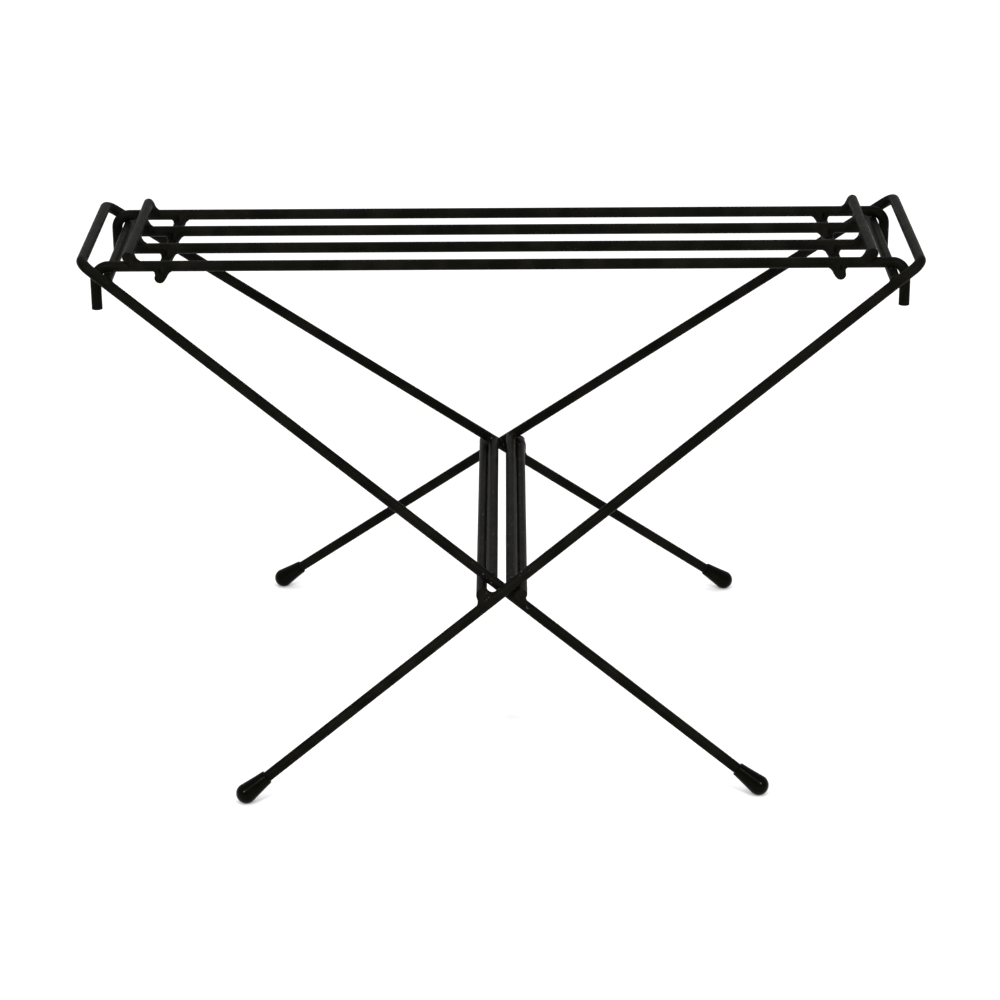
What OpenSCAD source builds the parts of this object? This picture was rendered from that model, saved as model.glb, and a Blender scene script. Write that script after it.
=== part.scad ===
// Folding rack of round steel rod: two crossed leg frames and a lift-off rod tray.
// Origin on the floor under the middle of the crossing, +X along the rack, +Z up.

/* [Rod] */
// Diameter of every rod
rod_d = 8; // [6:0.5:10]
// Centre-line radius of the bends at the top of each leg frame
leg_bend_r = 10; // [9:0.5:16]
// Centre-line radius of the bends at the ends of the tray rods
tray_bend_r = 10; // [7:0.5:11]

/* [Leg frames] */
// Angle of both leg frames above the floor
leg_angle = 36.7; // [34:0.1:40]
// Angle by which each leg runs outward from the middle plane towards its foot
splay_angle = 10.55; // [6:0.05:12]
// Distance from the crossing to the top bar, along the slope
top_reach = 382.6; // [360:0.1:400]
// Distance from the crossing to the middle of a foot cap's ball, along the slope
foot_reach = 236; // [200:1:260]
// Half the depth between the inner frame's legs, where the frames cross
inner_half_depth = 148.6; // [130:0.1:160]
// Clear space between an inner leg and the outer leg beside it
side_gap = 1.4; // [0.6:0.1:3]

/* [Bars across the leg frames] */
// Distance from the crossing to the cross bar that carries the tray, along the slope
cross_bar_reach = 359.8; // [350:0.1:362]
// Distance from the crossing to the brace bar, along the slope
brace_bar_reach = 8.7; // [8.7:0.05:10]
// Distance of each stop bar from the middle of the rack
stop_bar_x = 14.8; // [14.5:0.1:16]
// Half the length of a stop bar
stop_bar_half_length = 161; // [159:0.5:164]

/* [Tray] */
// Spacing of the four tray rods
tray_rod_pitch = 44.7; // [38:0.1:48]
// Distance of each tray rod's bent-down end from the middle of the rack
stub_x = 297.8; // [297.5:0.1:299]
// Drop from a tray rod's centre line to the tip of its bent-down end
stub_drop = 32.5; // [26:0.5:38]
// Half the length of the two inner tray rods
inner_rod_half_length = 275; // [273:0.5:278]
// Distance of each upper bar from the middle of the rack
upper_bar_x = 273; // [270:0.5:276]
// Distance of each lower bar from the middle of the rack
lower_bar_x = 250; // [240:0.5:258]
// Clear space between the tray rods and the cross bars they lie on
tray_rest_gap = 0.3; // [0.2:0.05:0.5]

/* [Foot caps] */
// Radius of the ball at the end of a foot cap
cap_ball_r = 7.6; // [6:0.1:8]
// Radius of a foot cap's mouth
cap_mouth_r = 5.3; // [4.8:0.1:5.6]
// Length of a foot cap from the middle of its ball to its mouth
cap_length = 20; // [15:0.5:24]
// Depth of the worn flat under each foot cap
cap_flat_depth = 0.4; // [0.3:0.05:0.6]
// Distance from the middle of the ball to the end of the rod inside the cap
cap_rod_stop = 2; // [1:0.5:4]
// Radial space between a rod and its foot cap's bore
cap_fit = 0.02; // [0.01:0.01:0.05]

/* [Weld beads] */
// Radius of the beads where two tray rods cross
tray_bead_r = 3.6; // [3:0.1:4]
// Radius of the beads around the ends of the cross bars
cross_bead_r = 5.4; // [5:0.1:5.6]
// Radius of the beads beside the ends of the brace bars
brace_bead_r = 3; // [2.5:0.1:3.4]
// Radius of the beads under the stop bars
stop_bead_r = 4.9; // [4.7:0.1:5.2]

/* [Hidden] */
$fn = 64;

rod_r = rod_d / 2;
outer_half_depth = inner_half_depth + rod_d + side_gap;
foot_centre_z = cap_ball_r - cap_flat_depth;
crossing_z = foot_centre_z + foot_reach * sin(leg_angle);
tray_z = crossing_z + cross_bar_reach * sin(leg_angle) + rod_d + tray_rest_gap;
outer_rod_y = 1.5 * tray_rod_pitch;
inner_rod_y = 0.5 * tray_rod_pitch;
tray_rod_ys = [-outer_rod_y, -inner_rod_y, inner_rod_y, outer_rod_y];
tray_bar_half_length = outer_rod_y + rod_r + 0.2;
stop_bar_offset = stop_bar_x * sin(leg_angle);
stop_bar_along = stop_bar_x * cos(leg_angle);
// A butted bar stops this far short of the leg's centre line, inside its coped end
cope_inset = 1.2;
bend_fullness = 0.02;
bend_overlap = 0.1;
floor_block = [900, 700, 40];
paint = "#1c1c1a";
rubber = "#0d0d0d";

// Half the distance between a frame's legs at a place along the slope
function leg_y(half_depth, along) = half_depth - along * tan(splay_angle);

// Distance of a leg rod's bend centre from the middle line
function leg_bend_y(half_depth) =
    leg_y(half_depth, top_reach - leg_bend_r) - leg_bend_r / cos(splay_angle);

// ---- Rods and placing ----

// Round rod from the origin along +X
module rod(length) {
    rotate([0, 90, 0])
        cylinder(h = length, r = rod_r);
}

// Round rod along Y, centred on the origin
module rod_across(half_length) {
    rotate([90, 0, 0])
        cylinder(h = 2 * half_length, r = rod_r, center = true);
}

// The outer frame's own plane: +X up the slope from the crossing, towards the right
module on_outer_slope() {
    translate([0, 0, crossing_z])
        rotate([0, -leg_angle, 0])
            children();
}

// The inner frame's own plane: the mirror image, with its top at the left
module on_inner_slope() {
    mirror([1, 0, 0])
        on_outer_slope()
            children();
}

// One copy at the front and its mirror image at the back
module front_and_back() {
    children();
    mirror([0, 1, 0])
        children();
}

// ---- Leg frames, drawn in the frame's own plane ----

// Quarter bend and straight leg on the back side. The bend is drawn a hair fuller than the
// straights, which reach just inside it, so that the three lengths join cleanly.
module half_leg_rod(half_depth) {
    bend_x = top_reach - leg_bend_r;
    bend_y = leg_bend_y(half_depth);
    leg_x = bend_x + leg_bend_r * sin(splay_angle);
    leg_length = (leg_x + foot_reach) / cos(splay_angle) - cap_rod_stop;
    translate([bend_x, bend_y, 0])
        rotate([0, 0, -splay_angle]) {
            rotate_extrude(start = splay_angle, angle = 90 - splay_angle)
                translate([leg_bend_r, 0])
                    circle(r = rod_r + bend_fullness);
            translate([-leg_length, leg_bend_r, 0])
                rod(leg_length + bend_overlap);
        }
}

// One rod bent to a splayed U: two legs and the top bar between them
module leg_rod(half_depth) {
    front_and_back()
        half_leg_rod(half_depth);
    translate([top_reach, 0, 0])
        rod_across(leg_bend_y(half_depth) + bend_overlap);
}

// The straight legs alone, as long as the frame, for coping the bars to them
module leg_tools(half_depth) {
    front_and_back()
        translate([top_reach, leg_y(half_depth, top_reach), 0])
            rotate([0, 0, 180 - splay_angle])
                rod((top_reach + foot_reach) / cos(splay_angle));
}

// Bar butted between the legs, its ends coped to them
module butted_bar(half_depth, along) {
    difference() {
        translate([along, 0, 0])
            rod_across(leg_y(half_depth, along) - cope_inset);
        leg_tools(half_depth);
    }
}

// Stop bar, lying in the notch between the legs on their upper side
module stop_bar() {
    translate([-stop_bar_along, 0, stop_bar_offset])
        rod_across(stop_bar_half_length);
}

// Welds of one frame: round the cross bar's ends, beside the brace bar's, under the stop bar
module frame_weld_beads(half_depth) {
    cross_y = leg_y(half_depth, cross_bar_reach) - rod_r - 0.6;
    brace_y = leg_y(half_depth, brace_bar_reach) - rod_r;
    stop_y = leg_y(half_depth, -stop_bar_along);
    difference() {
        front_and_back() {
            translate([cross_bar_reach, cross_y, 0])
                rotate([90, 0, 0])
                    sphere(r = cross_bead_r);
            translate([brace_bar_reach + rod_r - 0.6, brace_y, 0])
                rotate([90, 0, 0])
                    sphere(r = brace_bead_r);
            translate([-stop_bar_along, stop_y, stop_bar_offset / 2])
                sphere(r = stop_bead_r);
        }
        leg_tools(half_depth);
        translate([cross_bar_reach, 0, 0])
            rod_across(half_depth);
        translate([brace_bar_reach, 0, 0])
            rod_across(half_depth);
        stop_bar();
    }
}

// Rubber cap pushed on the end of a leg: ball, tapered sleeve and blind bore
module foot_cap(half_depth) {
    taper = atan((cap_ball_r - cap_mouth_r) / cap_length);
    translate([-foot_reach, leg_y(half_depth, -foot_reach), 0])
        rotate([0, 0, -splay_angle])
            rotate([0, 90, 0])
                difference() {
                    union() {
                        sphere(r = cap_ball_r);
                        translate([0, 0, cap_ball_r * sin(taper)])
                            cylinder(
                                h = cap_length - cap_ball_r * sin(taper),
                                r1 = cap_ball_r * cos(taper),
                                r2 = cap_mouth_r
                            );
                    }
                    translate([0, 0, cap_rod_stop])
                        cylinder(h = cap_length, r = rod_r + cap_fit);
                }
}

// Everything below the floor, which wears the flat under each cap
module floor_cut() {
    translate([-floor_block[0] / 2, -floor_block[1] / 2, -floor_block[2]])
        cube(floor_block);
}

// ---- Tray parts, drawn in place ----

// Bend and bent-down end at the right of a long tray rod
module rod_end_stub() {
    translate([stub_x - tray_bend_r, 0, -tray_bend_r])
        rotate([90, 0, 0])
            rotate_extrude(angle = 90)
                translate([tray_bend_r, 0])
                    circle(r = rod_r);
    translate([stub_x, 0, -stub_drop])
        cylinder(h = stub_drop - tray_bend_r, r = rod_r);
}

// Long tray rod with both ends bent down
module bent_tray_rod(y) {
    straight = stub_x - tray_bend_r;
    translate([0, y, tray_z]) {
        translate([-straight, 0, 0])
            rod(2 * straight);
        rod_end_stub();
        mirror([1, 0, 0])
            rod_end_stub();
    }
}

// Short straight tray rod
module straight_tray_rod(y) {
    translate([-inner_rod_half_length, y, tray_z])
        rod(2 * inner_rod_half_length);
}

// Bar across the tray rods, above them (side 1) or beneath them (side -1)
module tray_bar(x, side) {
    translate([x, 0, tray_z + side * rod_d])
        rod_across(tray_bar_half_length);
}

// Bead in the corner between a tray rod and the bar lying on it, on the bar's inboard side
module tray_weld_bead(end) {
    difference() {
        translate([-end * rod_r, 0, rod_r])
            rotate([90, 0, 0])
                sphere(r = tray_bead_r);
        translate([-rod_d, 0, 0])
            rod(2 * rod_d);
        translate([0, 0, rod_d])
            rod_across(rod_d);
    }
}

// Beads at each crossing of the rods and the bars above them (side 1) or beneath them (side -1)
module tray_weld_beads(bar_x, side) {
    for (end = [-1, 1], y = tray_rod_ys)
        translate([end * bar_x, y, tray_z])
            mirror([0, 0, side < 0 ? 1 : 0])
                tray_weld_bead(end);
}

// ---- Named parts ----

module outer_leg_rod() {
    color(paint) on_outer_slope() leg_rod(outer_half_depth);
}

module outer_cross_bar() {
    color(paint) on_outer_slope() butted_bar(outer_half_depth, cross_bar_reach);
}

module outer_brace_bar() {
    color(paint) on_outer_slope() butted_bar(outer_half_depth, brace_bar_reach);
}

module outer_stop_bar() {
    color(paint) on_outer_slope() stop_bar();
}

module outer_frame_weld_beads() {
    color(paint) on_outer_slope() frame_weld_beads(outer_half_depth);
}

module outer_back_foot_cap() {
    color(rubber)
        difference() {
            on_outer_slope() foot_cap(outer_half_depth);
            floor_cut();
        }
}

module outer_front_foot_cap() {
    mirror([0, 1, 0]) outer_back_foot_cap();
}

module inner_leg_rod() {
    color(paint) on_inner_slope() leg_rod(inner_half_depth);
}

module inner_cross_bar() {
    color(paint) on_inner_slope() butted_bar(inner_half_depth, cross_bar_reach);
}

module inner_brace_bar() {
    color(paint) on_inner_slope() butted_bar(inner_half_depth, brace_bar_reach);
}

module inner_stop_bar() {
    color(paint) on_inner_slope() stop_bar();
}

module inner_frame_weld_beads() {
    color(paint) on_inner_slope() frame_weld_beads(inner_half_depth);
}

module inner_back_foot_cap() {
    color(rubber)
        difference() {
            on_inner_slope() foot_cap(inner_half_depth);
            floor_cut();
        }
}

module inner_front_foot_cap() {
    mirror([0, 1, 0]) inner_back_foot_cap();
}

module tray_front_rod() {
    color(paint) bent_tray_rod(-outer_rod_y);
}

module tray_front_inner_rod() {
    color(paint) straight_tray_rod(-inner_rod_y);
}

module tray_back_inner_rod() {
    color(paint) straight_tray_rod(inner_rod_y);
}

module tray_back_rod() {
    color(paint) bent_tray_rod(outer_rod_y);
}

module tray_left_upper_bar() {
    color(paint) tray_bar(-upper_bar_x, 1);
}

module tray_right_upper_bar() {
    color(paint) tray_bar(upper_bar_x, 1);
}

module tray_left_lower_bar() {
    color(paint) tray_bar(-lower_bar_x, -1);
}

module tray_right_lower_bar() {
    color(paint) tray_bar(lower_bar_x, -1);
}

module tray_upper_weld_beads() {
    color(paint) tray_weld_beads(upper_bar_x, 1);
}

module tray_lower_weld_beads() {
    color(paint) tray_weld_beads(lower_bar_x, -1);
}

outer_leg_rod();
outer_cross_bar();
outer_brace_bar();
outer_stop_bar();
outer_frame_weld_beads();
outer_front_foot_cap();
outer_back_foot_cap();
inner_leg_rod();
inner_cross_bar();
inner_brace_bar();
inner_stop_bar();
inner_frame_weld_beads();
inner_front_foot_cap();
inner_back_foot_cap();
tray_front_rod();
tray_front_inner_rod();
tray_back_inner_rod();
tray_back_rod();
tray_left_upper_bar();
tray_right_upper_bar();
tray_left_lower_bar();
tray_right_lower_bar();
tray_upper_weld_beads();
tray_lower_weld_beads();
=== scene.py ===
import math

import bmesh
import bpy
from mathutils import Matrix, Vector, noise


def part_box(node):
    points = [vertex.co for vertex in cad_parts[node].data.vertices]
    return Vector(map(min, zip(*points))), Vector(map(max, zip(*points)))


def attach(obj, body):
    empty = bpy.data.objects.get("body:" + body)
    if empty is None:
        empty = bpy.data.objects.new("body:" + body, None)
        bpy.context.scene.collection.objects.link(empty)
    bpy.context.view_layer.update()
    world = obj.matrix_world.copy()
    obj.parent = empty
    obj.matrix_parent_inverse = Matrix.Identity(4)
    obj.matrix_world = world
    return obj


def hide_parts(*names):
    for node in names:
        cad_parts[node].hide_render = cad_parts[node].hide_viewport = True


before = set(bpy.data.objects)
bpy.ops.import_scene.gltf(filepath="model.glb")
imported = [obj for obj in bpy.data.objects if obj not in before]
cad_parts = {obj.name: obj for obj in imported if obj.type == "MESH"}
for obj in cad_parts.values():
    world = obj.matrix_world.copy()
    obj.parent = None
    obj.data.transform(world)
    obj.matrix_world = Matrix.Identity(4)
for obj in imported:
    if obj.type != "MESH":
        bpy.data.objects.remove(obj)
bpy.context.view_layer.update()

# ---- Camera ----
# A long lens from the front, a little above the tray and square to its length.
# It looks down on the rack and leans by less than half a degree.

camera_place = Vector((0.00725, -2.1798, 1.0265))
camera_turn = math.radians(0.23)
camera_look_down = math.radians(21.711)
camera_lean = math.radians(-0.38)

lens = bpy.data.cameras.new("camera")
lens.lens = 108.1
lens.sensor_width = 36
lens.clip_end = 60
camera = bpy.data.objects.new("camera", lens)
bpy.context.scene.collection.objects.link(camera)
camera.matrix_world = (
    Matrix.Translation(camera_place)
    @ Matrix.Rotation(camera_turn, 4, "Z")
    @ Matrix.Rotation(math.pi / 2 - camera_look_down, 4, "X")
    @ Matrix.Rotation(camera_lean, 4, "Z")
)
bpy.context.scene.camera = camera

# ---- Floor and studio light ----
# One seamless white board under two soft boxes, with a small bright lamp on each side.
# The board stays near white, and the lamps draw a thin shine along the rods and caps.

floor_half = 7.0

floor_mesh = bpy.data.meshes.new("floor")
floor_mesh.from_pydata(
    [
        (-floor_half, -floor_half, 0),
        (floor_half, -floor_half, 0),
        (floor_half, floor_half, 0),
        (-floor_half, floor_half, 0),
    ],
    [],
    [(0, 1, 2, 3)],
)
floor = bpy.data.objects.new("floor", floor_mesh)
bpy.context.scene.collection.objects.link(floor)
floor_paint = bpy.data.materials.new("white_board")
floor_paint.use_nodes = True
floor_shader = floor_paint.node_tree.nodes["Principled BSDF"]
floor_shader.inputs["Base Color"].default_value = (0.93, 0.93, 0.93, 1)
floor_shader.inputs["Roughness"].default_value = 0.9
floor_shader.inputs["Specular IOR Level"].default_value = 0.0
floor_mesh.materials.append(floor_paint)

sky = bpy.data.worlds.new("studio")
sky.use_nodes = True
sky.node_tree.nodes["Background"].inputs["Color"].default_value = (1, 1, 1, 1)
sky.node_tree.nodes["Background"].inputs["Strength"].default_value = 0.85
bpy.context.scene.world = sky
bpy.context.scene.view_settings.view_transform = "Standard"


def soft_light(name, place, aim, width, watts):
    """A square soft box that points at a place."""
    lamp = bpy.data.lights.new(name, "AREA")
    lamp.size = width
    lamp.energy = watts
    box = bpy.data.objects.new(name, lamp)
    box.location = place
    box.rotation_euler = (Vector(aim) - Vector(place)).to_track_quat("-Z", "Y").to_euler()
    bpy.context.scene.collection.objects.link(box)


soft_light("top_box", (0, 0.4, 3.2), (0, 0, 0), 3.6, 36)
soft_light("back_box", (0, 4.4, 2.8), (0, 4.8, 0), 3.0, 16)
soft_light("left_lamp", (-1.1, -1.8, 1.55), (-0.1, 0, 0.1), 0.16, 26)
soft_light("right_lamp", (1.1, -1.8, 1.55), (0.1, 0, 0.1), 0.16, 26)

# ---- Leg frames ----
# Each frame is one round mild steel rod bent to a splayed U, with a cross bar, a brace bar
# and a stop bar welded on. All are brushed or dipped in satin black paint, not plated.


def noise_value(nodes, links, place, size, detail):
    """Fine random variation, as a socket from 0 to 1."""
    grain = nodes.new("ShaderNodeTexNoise")
    grain.inputs["Scale"].default_value = size
    grain.inputs["Detail"].default_value = detail
    links.new(place, grain.inputs["Vector"])
    return grain.outputs["Fac"]


def between(nodes, links, value, low, high):
    """Stretches the part of a value between low and high to 0 to 1, with soft ends."""
    spread = nodes.new("ShaderNodeMapRange")
    spread.interpolation_type = "SMOOTHSTEP"
    spread.inputs["From Min"].default_value = low
    spread.inputs["From Max"].default_value = high
    links.new(value, spread.inputs["Value"])
    return spread.outputs["Result"]


def times(nodes, links, first, second):
    """One value multiplied by another."""
    product = nodes.new("ShaderNodeMath")
    product.operation = "MULTIPLY"
    links.new(first, product.inputs[0])
    links.new(second, product.inputs[1])
    return product.outputs["Value"]


def blend_colour(nodes, links, amount, under, over):
    """The under colour, covered by the over colour where amount is 1. Under may be a socket."""
    mix = nodes.new("ShaderNodeMix")
    mix.data_type = "RGBA"
    links.new(amount, mix.inputs["Factor"])
    if isinstance(under, tuple):
        mix.inputs["A"].default_value = (*under, 1)
    else:
        links.new(under, mix.inputs["A"])
    mix.inputs["B"].default_value = (*over, 1)
    return mix.outputs["Result"]


def satin_black_paint():
    """Brushed satin black enamel: faint brown-black mottling, dust specks, chips at the crossing."""
    paint = bpy.data.materials.new("satin_black_paint")
    paint.use_nodes = True
    nodes = paint.node_tree.nodes
    links = paint.node_tree.links
    shader = nodes["Principled BSDF"]
    place = nodes.new("ShaderNodeTexCoord").outputs["Object"]

    mottling = between(nodes, links, noise_value(nodes, links, place, 55, 5), 0.35, 0.7)
    colour = blend_colour(nodes, links, mottling, (0.0020, 0.0020, 0.0015), (0.0046, 0.0043, 0.0032))
    dust = between(nodes, links, noise_value(nodes, links, place, 900, 2), 0.66, 0.78)
    patches = between(nodes, links, noise_value(nodes, links, place, 30, 3), 0.45, 0.7)
    colour = blend_colour(nodes, links, times(nodes, links, dust, patches), colour, (0.026, 0.023, 0.018))

    apart = nodes.new("ShaderNodeSeparateXYZ")
    links.new(place, apart.inputs["Vector"])
    sideways = nodes.new("ShaderNodeMath")
    sideways.operation = "ABSOLUTE"
    links.new(apart.outputs["X"], sideways.inputs[0])
    beside_crossing = between(nodes, links, sideways.outputs["Value"], 0.030, 0.014)
    below_tray = between(nodes, links, apart.outputs["Z"], 0.26, 0.20)
    chips = between(nodes, links, noise_value(nodes, links, place, 380, 4), 0.67, 0.71)
    chips = times(nodes, links, chips, times(nodes, links, beside_crossing, below_tray))
    colour = blend_colour(nodes, links, chips, colour, (0.075, 0.062, 0.046))
    links.new(colour, shader.inputs["Base Color"])

    shine = nodes.new("ShaderNodeMapRange")
    shine.inputs["To Min"].default_value = 0.34
    shine.inputs["To Max"].default_value = 0.50
    links.new(noise_value(nodes, links, place, 130, 4), shine.inputs["Value"])
    links.new(shine.outputs["Result"], shader.inputs["Roughness"])
    shader.inputs["Specular IOR Level"].default_value = 0.015
    shader.inputs["Specular Tint"].default_value = (1, 0.99, 0.84, 1)

    brush_marks = nodes.new("ShaderNodeBump")
    brush_marks.inputs["Strength"].default_value = 0.35
    brush_marks.inputs["Distance"].default_value = 0.0006
    links.new(noise_value(nodes, links, place, 420, 5), brush_marks.inputs["Height"])
    links.new(brush_marks.outputs["Normal"], shader.inputs["Normal"])
    return paint


paint = satin_black_paint()


def paint_nodes(*names):
    """Gives these rods and bars the black paint."""
    for name in names:
        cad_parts[name].material_slots[0].material = paint


for side in ("outer", "inner"):
    paint_nodes(f"{side}_leg_rod", f"{side}_cross_bar", f"{side}_brace_bar", f"{side}_stop_bar")

# ---- Welds on the leg frames ----
# Small hand-laid arc welds, painted over with the rods. Each runs round the end of a cross
# bar, sits above a brace bar, or fills the space between a stop bar and the leg under it.
# The inner frame's back stop bar has the largest.

rod_radius = 0.004
leg_angle = math.radians(36.7)
splay = math.radians(10.55)
cross_bar_reach = 0.3598
brace_bar_reach = 0.0087
stop_bar_out = 0.0148
stop_bar_half_length = 0.161
half_depth = {"outer": 0.158, "inner": 0.1486}
hand = {"outer": 1, "inner": -1}
crossing_height = sum(corner.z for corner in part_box("outer_stop_bar")) / 2
leg_low_end = -0.3
leg_high_end = 0.37
bar_end_inset = 0.0045


def on_slope(side, along, across, off=0.0):
    """A place in a leg frame's own sloping plane: along the slope, across it and off it."""
    return Vector(
        (
            hand[side] * (along * math.cos(leg_angle) - off * math.sin(leg_angle)),
            across,
            crossing_height + along * math.sin(leg_angle) + off * math.cos(leg_angle),
        )
    )


def leg_across(side, along):
    """Half the distance between a frame's legs at a place along its slope."""
    return half_depth[side] - along * math.tan(splay)


def rod_gap(point, start, direction):
    """Distance from a point to the skin of a rod that runs from start in a direction."""
    offset = point - start
    along = offset.dot(direction)
    return max((offset - along * direction).length - rod_radius, -along)


def soft_union(first, second, fill):
    """Two distances joined by a fillet of about that size."""
    closeness = max(fill - abs(first - second), 0) / fill
    return min(first, second) - closeness * closeness * fill / 4


def add_weld(shape, middle, rods, reach, fill, lean=None):
    """Adds a fillet weld where two rods meet. With lean it lies on that side of the meeting only."""
    ball = bmesh.ops.create_icosphere(shape, subdivisions=4, radius=1)
    for vertex in ball["verts"]:
        ray = vertex.co.normalized()
        share = 1.0
        if lean is not None:
            share = min(max(ray.dot(lean) * 2 + 0.5, 0), 1)
        distance = reach
        for step in range(1, 61):
            distance = reach * step / 60
            point = middle + ray * distance
            lumps = 1 + 0.5 * noise.noise(point * 700)
            swell = 0.00045 * share * lumps - 0.0011 * (distance / reach) ** 2 - 0.0006 * (1 - share)
            gaps = [rod_gap(point, *rod) for rod in rods]
            skin = soft_union(*gaps, fill * (0.15 + 0.85 * share))
            if skin > swell:
                break
        vertex.co = middle + ray * distance


def finish_piece(name, shape, material, body, slot_name, *replaced):
    """Turns a built shape into a piece that moves with a body and stands for its plain nodes."""
    mesh = bpy.data.meshes.new(name)
    bmesh.ops.recalc_face_normals(shape, faces=shape.faces)
    shape.to_mesh(mesh)
    shape.free()
    mesh.materials.append(material)
    mesh.shade_smooth()
    piece = bpy.data.objects.new(name, mesh)
    bpy.context.scene.collection.objects.link(piece)
    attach(piece, body)
    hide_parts(*replaced)
    return piece


for side in ("outer", "inner"):
    welds = bmesh.new()
    for face in (-1, 1):
        leg_foot = on_slope(side, leg_low_end, face * leg_across(side, leg_low_end))
        leg_top = on_slope(side, leg_high_end, face * leg_across(side, leg_high_end))
        leg = (leg_foot, (leg_top - leg_foot).normalized())
        inward = Vector((0, -face, 0))
        upslope = (on_slope(side, 1, 0) - on_slope(side, 0, 0)).normalized()

        cross_across = face * (leg_across(side, cross_bar_reach) - bar_end_inset)
        cross_end = on_slope(side, cross_bar_reach, cross_across)
        add_weld(welds, cross_end, (leg, (cross_end - inward * 0.002, inward)), 0.0078, 0.0034)

        brace_across = face * (leg_across(side, brace_bar_reach) - bar_end_inset)
        brace_end = on_slope(side, brace_bar_reach, brace_across)
        add_weld(welds, brace_end, (leg, (brace_end - inward * 0.002, inward)), 0.0082, 0.0036, upslope)

        stop_along = -stop_bar_out * math.cos(leg_angle)
        stop_off = stop_bar_out * math.sin(leg_angle)
        stop_across = face * leg_across(side, stop_along)
        stop_middle = on_slope(side, stop_along, stop_across, stop_off / 2)
        stop_outer_end = on_slope(side, stop_along, face * stop_bar_half_length, stop_off)
        stop_reach, stop_fill = (0.0105, 0.0085)
        if side == "inner" and face == 1:
            stop_reach, stop_fill = (0.0128, 0.0125)
        add_weld(welds, stop_middle, (leg, (stop_outer_end, inward)), stop_reach, stop_fill)
    finish_piece(
        f"{side}_frame_welds",
        welds,
        paint,
        f"{side}_leg_frame",
        "black_paint",
        f"{side}_frame_weld_beads",
    )

# ---- Foot caps ----
# Moulded black rubber caps pushed on the ends of the legs: a ball and a sleeve that tapers to
# a mouth with a rounded edge. Each is worn flat where it stands.

cap_ball_radius = 0.0076
cap_mouth_radius = 0.0053
cap_length = 0.020
cap_edge_radius = 0.0007
foot_reach = 0.236
cap_sides = 96


def black_rubber():
    """Moulded rubber, glossier than the paint, with faint bloom and scuffs."""
    rubber = bpy.data.materials.new("black_rubber")
    rubber.use_nodes = True
    nodes = rubber.node_tree.nodes
    links = rubber.node_tree.links
    shader = nodes["Principled BSDF"]
    place = nodes.new("ShaderNodeTexCoord").outputs["Object"]
    bloom = between(nodes, links, noise_value(nodes, links, place, 160, 4), 0.4, 0.75)
    colour = blend_colour(nodes, links, bloom, (0.0004, 0.0004, 0.0003), (0.0012, 0.0012, 0.0009))
    scuffs = between(nodes, links, noise_value(nodes, links, place, 1400, 3), 0.64, 0.74)
    colour = blend_colour(nodes, links, scuffs, colour, (0.005, 0.005, 0.0044))
    links.new(colour, shader.inputs["Base Color"])
    shine = nodes.new("ShaderNodeMapRange")
    shine.inputs["To Min"].default_value = 0.12
    shine.inputs["To Max"].default_value = 0.22
    links.new(noise_value(nodes, links, place, 220, 4), shine.inputs["Value"])
    links.new(shine.outputs["Result"], shader.inputs["Roughness"])
    shader.inputs["Specular IOR Level"].default_value = 0.038
    shader.inputs["Specular Tint"].default_value = (1, 0.98, 0.72, 1)
    skin = nodes.new("ShaderNodeBump")
    skin.inputs["Strength"].default_value = 0.1
    skin.inputs["Distance"].default_value = 0.0003
    links.new(noise_value(nodes, links, place, 700, 3), skin.inputs["Height"])
    links.new(skin.outputs["Normal"], shader.inputs["Normal"])
    return rubber


def cap_outline():
    """The cap's section from the pole of its ball to its mouth, as (along, radius) places."""
    slope = math.atan((cap_ball_radius - cap_mouth_radius) / cap_length)
    outline = []
    ball_steps = 22
    for step in range(1, ball_steps + 1):
        turn = (math.pi / 2 + slope) * step / ball_steps
        outline.append((-cap_ball_radius * math.cos(turn), cap_ball_radius * math.sin(turn)))
    start_along, start_radius = outline[-1]
    edge_along = cap_length - cap_edge_radius
    for step in range(1, 9):
        share = step / 8
        along = start_along + (edge_along - start_along) * share
        waist = 0.0001 * math.sin(math.pi * share)
        outline.append((along, start_radius + (cap_mouth_radius - start_radius) * share - waist))
    for step in range(1, 7):
        turn = math.pi / 2 * step / 6
        around = cap_mouth_radius - cap_edge_radius * (1 - math.cos(turn))
        outline.append((edge_along + cap_edge_radius * math.sin(turn), around))
    outline.append((cap_length, rod_radius + 0.00012))
    outline.append((cap_length - 0.0012, rod_radius + 0.00002))
    return outline


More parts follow.
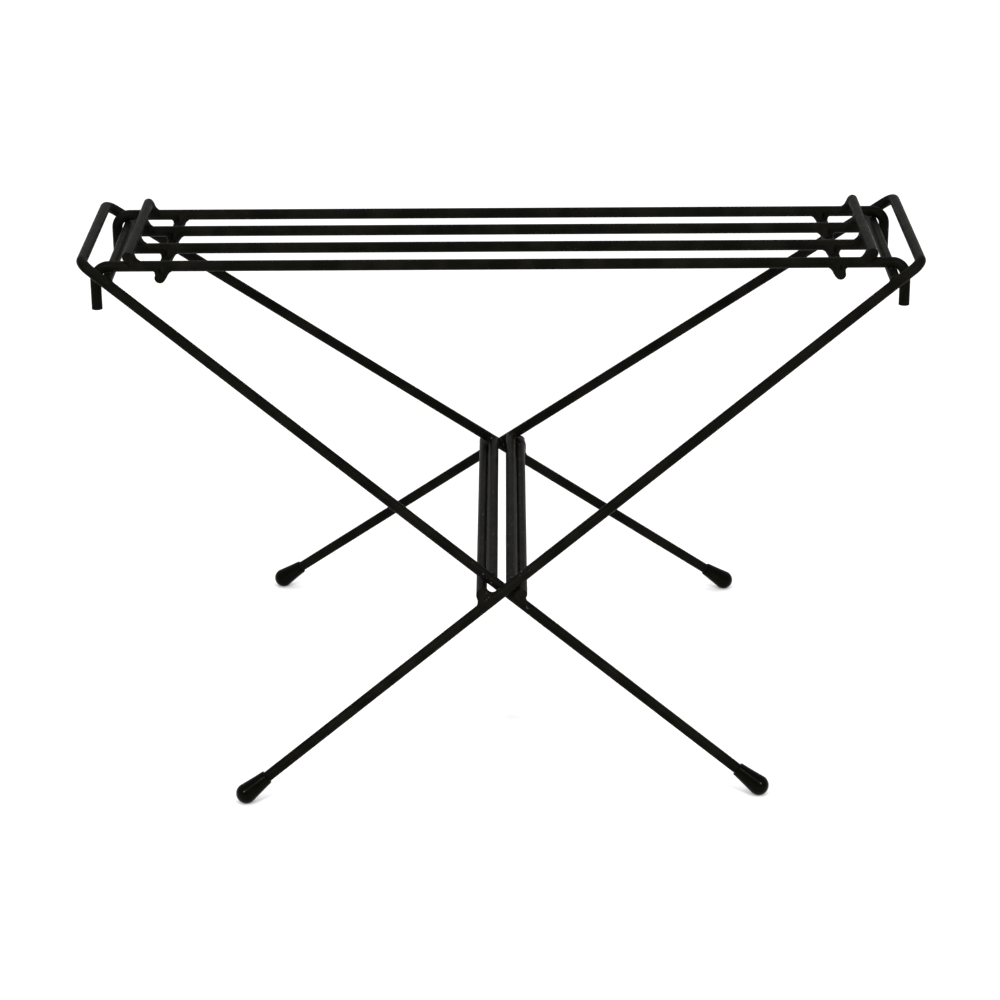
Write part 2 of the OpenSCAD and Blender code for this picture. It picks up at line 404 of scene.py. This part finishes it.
rubber = black_rubber()
for side in ("outer", "inner"):
    for face, place_name in ((-1, "front"), (1, "back")):
        middle = on_slope(side, -foot_reach, face * leg_across(side, -foot_reach))
        up_leg = (on_slope(side, 0, face * leg_across(side, 0)) - middle).normalized()
        ahead = up_leg.cross(Vector((0, 0, 1))).normalized()
        over = ahead.cross(up_leg).normalized()
        cap = bmesh.new()
        rings = []
        for along, radius in cap_outline():
            ring = []
            for spoke in range(cap_sides):
                turn = 2 * math.pi * spoke / cap_sides
                spot = middle + up_leg * along + (ahead * math.cos(turn) + over * math.sin(turn)) * radius
                spot.z = max(spot.z, 0)
                ring.append(cap.verts.new(spot))
            rings.append(ring)
        pole = cap.verts.new(middle - up_leg * cap_ball_radius)
        for spoke in range(cap_sides):
            beside = (spoke + 1) % cap_sides
            cap.faces.new((pole, rings[0][beside], rings[0][spoke]))
            for lower, upper in zip(rings, rings[1:]):
                cap.faces.new((lower[spoke], lower[beside], upper[beside], upper[spoke]))
        finish_piece(
            f"{side}_{place_name}_rubber_cap",
            cap,
            rubber,
            f"{side}_leg_frame",
            "black_rubber",
            f"{side}_{place_name}_foot_cap",
        )

# ---- Tray ----
# Four straight rods on two bars at each end. The outer two are bent down at both ends, and
# the bent ends drop just inside the top bars of the legs and keep the rack from spreading.

paint_nodes("tray_front_rod", "tray_front_inner_rod", "tray_back_inner_rod", "tray_back_rod")
paint_nodes("tray_left_upper_bar", "tray_right_upper_bar", "tray_left_lower_bar", "tray_right_lower_bar")

# ---- Welds on the tray ----
# One small weld on the inboard side of each crossing above the rods, and one on both sides
# of each crossing beneath them, painted over with the rods.

tray_rods = ("tray_front_rod", "tray_front_inner_rod", "tray_back_inner_rod", "tray_back_rod")


def box_middle(name):
    """The middle of a node's box."""
    low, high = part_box(name)
    return (low + high) / 2


tray_rod_height = box_middle("tray_front_inner_rod").z
bar_half_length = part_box("tray_left_upper_bar")[1].y
for level, rise in (("upper", 1), ("lower", -1)):
    welds = bmesh.new()
    for end, end_sign in (("left", -1), ("right", 1)):
        bar_place = box_middle(f"tray_{end}_{level}_bar")
        inboard = Vector((-end_sign, 0, 0))
        for rod_name in tray_rods:
            across = box_middle(rod_name).y
            meeting = Vector((bar_place.x, across, tray_rod_height + rise * rod_radius))
            rod = (Vector((-1, across, tray_rod_height)), Vector((1, 0, 0)))
            bar_end = math.copysign(bar_half_length, across)
            bar = (Vector((bar_place.x, bar_end, bar_place.z)), Vector((0, -math.copysign(1, across), 0)))
            add_weld(welds, meeting, (rod, bar), 0.0105, 0.0088, inboard)
            if level == "lower":
                add_weld(welds, meeting, (rod, bar), 0.0066, 0.0042, -inboard)
    finish_piece(
        f"tray_{level}_welds",
        welds,
        paint,
        "tray",
        "black_paint",
        f"tray_{level}_weld_beads",
    )
